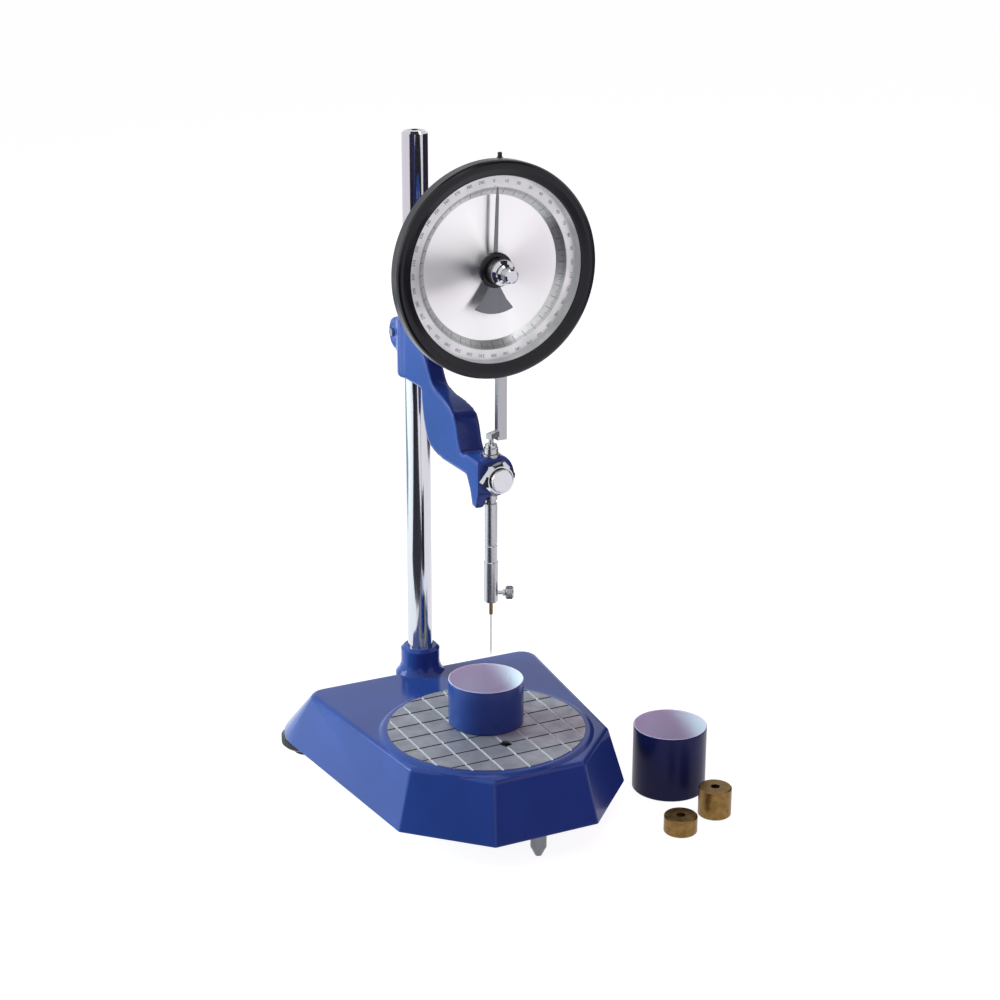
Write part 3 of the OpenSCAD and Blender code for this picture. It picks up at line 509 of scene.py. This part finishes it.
def bars_tree():
    tree = bpy.data.node_groups.new("bars_round_a_circle", "GeometryNodeTree")
    for label, kind in BAR_INPUTS.items():
        tree.interface.new_socket(label, in_out="INPUT", socket_type=kind)
    tree.interface.new_socket("Geometry", in_out="OUTPUT", socket_type="NodeSocketGeometry")
    given = add(tree, "NodeGroupInput").outputs
    circle = add(tree, "GeometryNodeMeshCircle", {"Vertices": given["Count"], "Radius": given["Radius"]})
    bar = add(tree, "GeometryNodeMeshCube", {"Size": given["Bar"]})
    point = add(tree, "GeometryNodeInputPosition").outputs["Position"]
    outwards = add(tree, "FunctionNodeAlignRotationToVector", {"Vector": point}, axis="X")
    index = add(tree, "GeometryNodeInputIndex").outputs["Index"]
    beat = add(tree, "FunctionNodeIntegerMath", {0: index, 1: given["Skip Every"]}, operation="MODULO")
    between = add(tree, "FunctionNodeCompare", {2: beat.outputs[0], 3: 0},
                  data_type="INT", operation="NOT_EQUAL")
    no_gaps = add(tree, "FunctionNodeCompare", {2: given["Skip Every"], 3: given["Count"]},
                  data_type="INT", operation="GREATER_THAN")
    kept = add(tree, "FunctionNodeBooleanMath", {0: between.outputs[0], 1: no_gaps.outputs[0]},
               operation="OR")
    bars = add(tree, "GeometryNodeInstanceOnPoints",
               {"Points": circle.outputs["Mesh"], "Instance": bar.outputs["Mesh"],
                "Selection": kept.outputs[0], "Rotation": outwards.outputs["Rotation"]})
    tilted = add(tree, "GeometryNodeRotateInstances",
                 {"Instances": bars.outputs["Instances"], "Rotation": given["Tilt"], "Local Space": True})
    placed = add(tree, "GeometryNodeTransform",
                 {"Geometry": tilted.outputs["Instances"], "Translation": given["Centre"],
                  "Rotation": given["Turn"]})
    real = add(tree, "GeometryNodeRealizeInstances", {"Geometry": placed.outputs["Geometry"]})
    dressed = add(tree, "GeometryNodeSetMaterial",
                  {"Geometry": real.outputs["Geometry"], "Material": given["Finish"]})
    add(tree, "NodeGroupOutput", {"Geometry": dressed.outputs["Geometry"]})
    return tree

BARS = bars_tree()
print("tree of bars:", len(BARS.nodes), "nodes")

# %% Bars on a body
# a step past any count leaves no bar out
NO_GAPS = 1000
FACES_OF_A_BAR = 6


def bars(name, body, slot, **sizes):
    """Grows bars with the tree, makes them a plain mesh and lets them ride on a body."""
    piece = new_piece(name, bpy.data.meshes.new(name))
    modifier = piece.modifiers.new("bars", "NODES")
    modifier.node_group = BARS
    keys = {s.name: s.identifier for s in BARS.interface.items_tree if s.in_out == "INPUT"}
    for label, value in sizes.items():
        modifier[keys[label.replace("_", " ")]] = value
    bake(piece)
    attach(piece, body)
    print(name, len(piece.data.polygons) // FACES_OF_A_BAR, "bars")

# %% [markdown]
# The marks lie on the ring's slope, between its flat face and the bright disc, because the pointer's tip ends
# there. The slope's two edges are read from the ring's own points.

# %% The slope of the dial ring
SLOPE_WITHIN = 8 * MM
EDGE_WITHIN = 0.1 * MM


def from_dial(point):
    return math.hypot(point.x - dial.x, point.z - dial.z)

disc_low, disc_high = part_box("dial_disc")
disc_edge = (disc_high.x - disc_low.x) / 2
slope = [v.co for v in NODES["dial_ring"].data.vertices if from_dial(v.co) < disc_edge + SLOPE_WITHIN]
ring_face = min(p.y for p in slope)
slope_top = max(from_dial(p) for p in slope)
slope_drop = min(p.y for p in slope if from_dial(p) < disc_edge + EDGE_WITHIN) - ring_face
steepness = math.atan2(slope_drop, slope_top - disc_edge)
print("slope from", round(disc_edge / MM, 1), "to", round(slope_top / MM, 1), "mm, at",
      round(math.degrees(steepness), 1), "degrees")

# %% Dial graduations
FACE_ON = (math.pi / 2, 0.0, 0.0)
MARK_THICKNESS = 0.06 * MM
# in millimetres, as the lengths and widths below are
MARK_INSET = 0.6

for name, count, skip, length, width in (
        ("marks_tenth", 400, 5, 2.6, 0.2),
        ("marks_half", 80, 2, 3.6, 0.24),
        ("marks_whole", 40, NO_GAPS, 5.4, 0.36)):
    inwards = (MARK_INSET + length / 2) * MM
    bars(name, "head", "black_enamel", Count=count, Skip_Every=skip,
         Radius=slope_top - inwards * math.cos(steepness),
         Bar=(length * MM, width * MM, MARK_THICKNESS), Tilt=(0.0, -steepness, 0.0),
         Centre=(dial.x, ring_face + inwards * math.sin(steepness), dial.z),
         Turn=FACE_ON, Finish=ink)

# %% [markdown]
# ## Figures round the dial
# Every tenth mark has its number. A text object makes the outline of each figure, it becomes a mesh, and its
# place on the ring is put into the mesh, so that all the figures can be one plain piece on the dial. A
# picture of the ring would do too, but it would blur close by.

# %% Dial figures
FIGURES = 40
FIGURE_SIZE = 3.1 * MM
FIGURE_OUT = 4.3 * MM
FIGURE_LIFT = 0.05 * MM

figures = bmesh.new()
reach = slope_top + FIGURE_OUT
upright = Matrix.Rotation(math.pi / 2, 4, "X")
for k in range(FIGURES):
    curve = bpy.data.curves.new("figure", "FONT")
    curve.body = str(k * 10)
    curve.size = FIGURE_SIZE
    curve.align_x = "CENTER"
    curve.align_y = "CENTER"
    curve.resolution_u = 3
    holder = new_piece("figure", curve)
    mesh = evaluated_mesh(holder)
    angle = 2 * math.pi * k / FIGURES
    spot = Vector((dial.x + reach * math.sin(angle), ring_face - FIGURE_LIFT,
                   dial.z + reach * math.cos(angle)))
    mesh.transform(Matrix.Translation(spot) @ Matrix.Rotation(angle, 4, "Y") @ upright)
    figures.from_mesh(mesh)
    bpy.data.objects.remove(holder)
    bpy.data.curves.remove(curve)
    bpy.data.meshes.remove(mesh)
dial_figures = new_piece("dial_figures", mesh_of(figures, "dial_figures"), ink)
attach(dial_figures, "head")
print("figures:", len(dial_figures.data.polygons), "faces")

# %% [markdown]
# ## Knurled knobs
# Fingers need grip on the pointer's setting knob, the chuck's thumb screw and the levelling knobs. Straight
# ridges stand round each of them. A bump in the material would leave the outline smooth, so the tree of bars
# makes them, with other sizes.

# %% Ridges on the pointer's knob
NO_TURN = (0.0, 0.0, 0.0)
RIDGE_HEIGHT = 0.5 * MM

# in the table, the radius, width, start behind the knob's front and length are in millimetres
knob_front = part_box("pointer_knob")[0].y
for name, radius, count, width, start, length, slot, metal in (
        ("knurl_knob_front", 5.2, 36, 0.42, 1.9, 5.6, "chrome", chrome),
        ("knurl_knob_back", 9.4, 60, 0.8, 15.0, 7.0, "black_enamel", black_enamel)):
    bars(name, "pointer", slot, Count=count, Skip_Every=NO_GAPS, Radius=radius * MM,
         Bar=(RIDGE_HEIGHT, width * MM, length * MM), Tilt=NO_TURN,
         Centre=(dial.x, knob_front + (start + length / 2) * MM, dial.z),
         Turn=FACE_ON, Finish=metal)

# %% [markdown]
# The thumb screw stands askew, so its ridges are placed along the axis that it turns about. Its widest
# points, seen along that axis, give the radius and the two ends of its head.

# %% Ridges on the thumb screw
RIM_WITHIN = 0.05 * MM
RIDGE_SUNK = 0.1 * MM
RIDGE_WIDTH = 0.55 * MM

thumb = next(joint for joint in frame["joints"] if joint["name"] == "thumb_turn")
thumb_axis = Vector(thumb["axis"])
thumb_pivot = Vector(thumb["pos_m"])
from_pivot = [v.co - thumb_pivot for v in NODES["chuck_screw"].data.vertices]
along = [p.dot(thumb_axis) for p in from_pivot]
radii = [(p - thumb_axis * t).length for p, t in zip(from_pivot, along)]
head = [t for t, r in zip(along, radii) if r > max(radii) - RIM_WITHIN]
bars("knurl_thumb_screw", "chuck_screw", "chrome", Count=30, Skip_Every=NO_GAPS,
     Radius=max(radii) - RIDGE_SUNK,
     Bar=(RIDGE_HEIGHT, RIDGE_WIDTH, max(head) - min(head)), Tilt=NO_TURN,
     Centre=tuple(thumb_pivot + thumb_axis * (max(head) + min(head)) / 2),
     Turn=tuple(thumb_axis.to_track_quat("Z", "Y").to_euler()), Finish=grey_steel)

# %% Ribs on the levelling knobs
RIB = (0.9 * MM, 1.5 * MM, 6.4 * MM)
RIB_SUNK = 0.15 * MM

for side in ("left", "right"):
    low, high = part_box("foot_knob_" + side)
    bars("ribs_foot_" + side, "foot_screw_" + side, "black_plastic", Count=40, Skip_Every=NO_GAPS,
         Radius=(high.x - low.x) / 2 - RIB_SUNK, Bar=RIB, Tilt=NO_TURN,
         Centre=tuple((low + high) / 2), Turn=NO_TURN, Finish=black_plastic)

# %% [markdown]
# ## Floor and world
# The photograph was taken before a white sweep with one broad light at the left. The floor and the world look
# white to the camera and in reflections, while the floor still takes the shadow. More light on a white floor
# would do that too, but it would bleach the object. So a light path tells the rays apart: those that the
# camera or a mirror sends find white, and the others find plain paint and a dim world.

# %% Floor
def sheet(name, size, matrix, material):
    work = bmesh.new()
    bmesh.ops.create_grid(work, x_segments=1, y_segments=1, size=0.5)
    work.transform(matrix @ Matrix.Diagonal((size[0], size[1], 1, 1)))
    piece = new_piece(name, mesh_of(work, name), material)
    piece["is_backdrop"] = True
    return piece


def in_view(tree):
    """A factor that is 1 for rays from the camera, off gloss and through glass, and 0 for the others."""
    path = add(tree, "ShaderNodeLightPath").outputs
    seen = path["Is Camera Ray"]
    for ray in ("Is Glossy Ray", "Is Transmission Ray"):
        seen = add(tree, "ShaderNodeMath", {0: seen, 1: path[ray]}, operation="MAXIMUM").outputs[0]
    return seen

FLOOR_BELOW = 0.2 * MM
FLOOR_SIDE = 30
floor_paint, tree, shader = finish("white_sweep", "#E6E6E6", Roughness=0.9)
glow = add(tree, "ShaderNodeEmission", {"Color": (1, 1, 1, 1), "Strength": 0.92})
dull = add(tree, "ShaderNodeBsdfDiffuse", {"Color": linear("#949494")})
pale = add(tree, "ShaderNodeAddShader", {0: glow.outputs[0], 1: dull.outputs[0]})
mixed = add(tree, "ShaderNodeMixShader", {"Fac": in_view(tree), 1: shader.outputs[0], 2: pale.outputs[0]})
tree.links.new(mixed.outputs[0], tree.nodes["Material Output"].inputs["Surface"])
sheet("floor", (FLOOR_SIDE, FLOOR_SIDE), Matrix.Translation((0, 0, -FLOOR_BELOW)), floor_paint)
print("floor:", FLOOR_SIDE, "m square")

# %% World
world = bpy.data.worlds.new("studio")
bpy.context.scene.world = world
world.use_nodes = True
tree = world.node_tree
soft = tree.nodes["Background"]
# rose light from all round meets the lamp's green, and together they are nearly white
soft.inputs["Color"].default_value = (1.14, 0.58, 1.1, 1)
soft.inputs["Strength"].default_value = 0.4
white = add(tree, "ShaderNodeBackground", {"Color": (1, 1, 1, 1), "Strength": 1.0})
mixed = add(tree, "ShaderNodeMixShader", {"Fac": in_view(tree), 1: soft.outputs[0], 2: white.outputs[0]})
tree.links.new(mixed.outputs[0], tree.nodes["World Output"].inputs["Surface"])
print("world:", world.name, "with", len(tree.nodes), "nodes")

# %% [markdown]
# ## Cards and lamps
# Chrome and enamel show what stands round them. Dark cards stand and lie out of sight, because the front
# faces and the middle of the pillar mirror a dark room. A bright card at the left is the window that gives
# the sharp highlights, and a small card by the dial gives the dark wedge on the spun disc. Only reflections
# see the cards, so they take no light from the object and throw no shadow.

# %% Cards for reflections
card_paint, _, _ = finish("dark_card", "#1B1A24", Roughness=0.9)
navy_paint, _, _ = finish("navy_card", "#1E2A66", Roughness=0.9)
bright_paint, _, _ = finish("bright_window", "#000000", Emission_Color=(1, 1, 1, 1), Emission_Strength=8.0)
dusk_paint, _, _ = finish("dim_wall", "#000000", Emission_Color=(0.2, 0.32, 0.38, 1.0),
                          Emission_Strength=1.0)
UPRIGHT = math.pi / 2
FLAT = 0
WINDOW = (-1.3, 1.0, 0.8)

# sizes and places in metres, and the turn about the vertical in degrees
CARDS = (
    ("card_front", (0.17, 0.09), (0.075, -0.15, 0.06), 0, UPRIGHT, card_paint),
    ("card_left", (0.6, 0.4), (-0.9, -0.42, 0.2), -62, UPRIGHT, card_paint),
    ("card_right", (1.5, 0.5), (0.8, 0.25, 0.25), 90, UPRIGHT, card_paint),
    ("card_above", (0.5, 0.5), (0.3, -0.15, 0.9), 0, FLAT, card_paint),
    ("card_floor", (0.7, 1.25), (-0.67, -0.47, 0.001), -46, FLAT, card_paint),
    ("card_over_pillar", (0.24, 0.24), (-0.03, 0.12, 0.75), 0, FLAT, card_paint),
    ("card_behind", (0.3, 0.3), (0.42, 1.06, 0.82), 0, FLAT, card_paint),
    ("card_back", (0.36, 0.95), (-0.47, 1.13, 0.001), 0, FLAT, dusk_paint),
    ("card_near", (0.18, 0.16), (-0.33, -0.29, 0.36), -33.5, UPRIGHT, navy_paint),
    ("card_dial", (0.05, 0.033), (-0.01, 0.0, 0.405), 0, UPRIGHT, card_paint),
    ("bright_left", (0.7, 0.7), WINDOW, 52, UPRIGHT, bright_paint),
)
for name, size, spot, turn, lean, paint in CARDS:
    facing = Matrix.Rotation(math.radians(turn), 4, "Z") @ Matrix.Rotation(lean, 4, "X")
    card = sheet(name, size, Matrix.Translation(spot) @ facing, paint)
    for ray in ("camera", "diffuse", "shadow", "transmission"):
        setattr(card, "visible_" + ray, False)
print("cards:", len(CARDS))

# %% Lamps
LAMP_AIM = Vector((0, 0.1, 0.2))


def lamp(name, spot, size, power, colour):
    data = bpy.data.lights.new(name, "AREA")
    data.shape = "SQUARE"
    data.size = size
    data.energy = power
    data.color = colour
    light = bpy.data.objects.new(name, data)
    towards = (LAMP_AIM - Vector(spot)).to_track_quat("-Z", "Y")
    light.matrix_world = Matrix.Translation(spot) @ towards.to_matrix().to_4x4()
    bpy.context.scene.collection.objects.link(light)
    return light

broad = lamp("broad_left", WINDOW, size=1.0, power=50, colour=(0.64, 1.0, 0.95))
broad.visible_glossy = False
fill = lamp("top_fill", (0.2, -0.2, 1.8), size=1.2, power=8, colour=(1, 1, 1))
print("lamps:", broad.name, fill.name)

# %% [markdown]
# ## Camera
# The view was worked out from the photograph by fitting known circles and upright edges: the camera stands
# about one and a half metres away, turned 26.6 degrees to the instrument's left and looking 18.4 degrees
# down. A helper that frames the object would lose that view, so the three directions of the camera are
# worked out from the angles.

# %% Camera
azimuth, elevation, roll = (math.radians(angle) for angle in (-26.58, 18.42, 0.13))
TARGET = Vector((0, 79, 200)) * MM
# how far the camera stands from the target, and how far it is moved aside and up, in millimetres
DISTANCE = 1490
ASIDE = 6.63
ABOVE = 48.61
SENSOR = 36
FOCAL_IN_SENSORS = 2.020

level = math.cos(elevation)
away = Vector((math.sin(azimuth) * level, -math.cos(azimuth) * level, math.sin(elevation)))
side = Vector((math.cos(azimuth), math.sin(azimuth), 0))
rise = away.cross(side)
right = side * math.cos(roll) + rise * math.sin(roll)
up = rise * math.cos(roll) - side * math.sin(roll)
spot = TARGET + away * DISTANCE * MM + right * ASIDE * MM + up * ABOVE * MM

camera = bpy.data.objects.new("camera", bpy.data.cameras.new("camera"))
camera.data.sensor_width = SENSOR
camera.data.lens = SENSOR * FOCAL_IN_SENSORS
camera.data.clip_end = 20
camera.matrix_world = Matrix((right, up, away)).transposed().to_4x4()
camera.matrix_world.translation = spot
bpy.context.scene.collection.objects.link(camera)
bpy.context.scene.camera = camera
bpy.context.scene.view_settings.view_transform = "Standard"
print("camera at", [round(c, 3) for c in spot])

# %% [markdown]
# ## Size
# The size of the dressed model is measured and printed, leaving out the floor, the cards and the hidden
# pieces. The dressed model has to stay inside the imported one.

# %% Measure and finish
low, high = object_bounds()
print("dressed size in mm:", size_in_mm(low, high))
